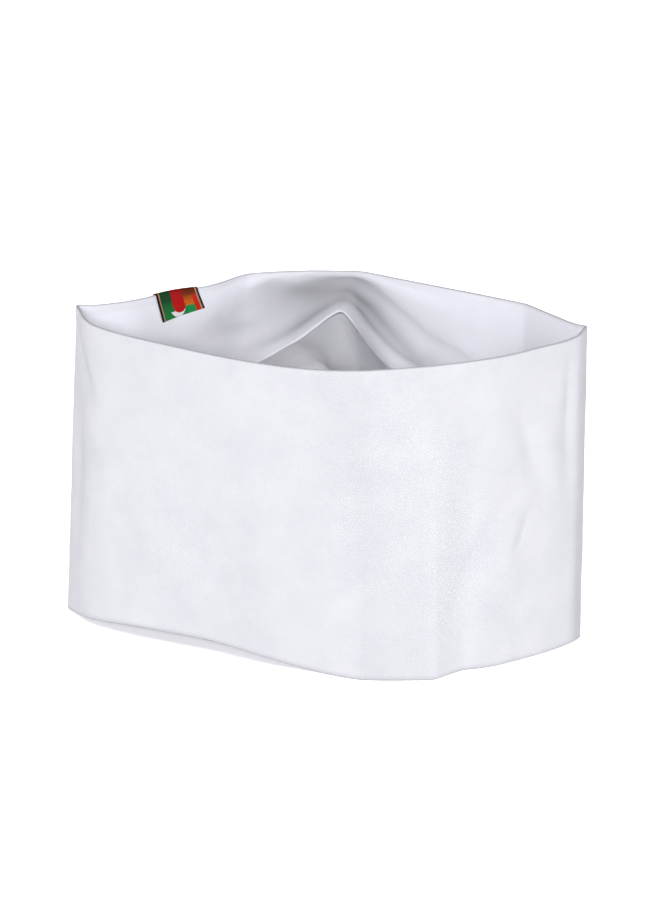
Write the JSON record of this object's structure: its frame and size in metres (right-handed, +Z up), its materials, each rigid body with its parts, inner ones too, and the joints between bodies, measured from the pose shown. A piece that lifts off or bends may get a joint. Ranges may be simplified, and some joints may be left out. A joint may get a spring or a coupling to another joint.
{
  "type": "pahadi cap",
  "caption": "White cotton hill cap with a tall stiff band, a sunken boat-shaped crown and a striped ribbon over the rim; worn on the head.",
  "frame": {"origin": "middle of the cap's outline, on the plane that its hem stands on", "axes": "+X from the front point to the back point, +Y to the far side with the ribbon, +Z up"},
  "size_m": [0.201, 0.188, 0.1209],
  "materials": {
    "white_cotton": "matt woven cotton",
    "ribbon_satin": "satin ribbon with coloured stripes"
  },
  "bodies": {
    "root": {"band": "white_cotton", "inset_side": "white_cotton", "crown": "white_cotton", "ribbon": "ribbon_satin"}
  },
  "joints": []
}
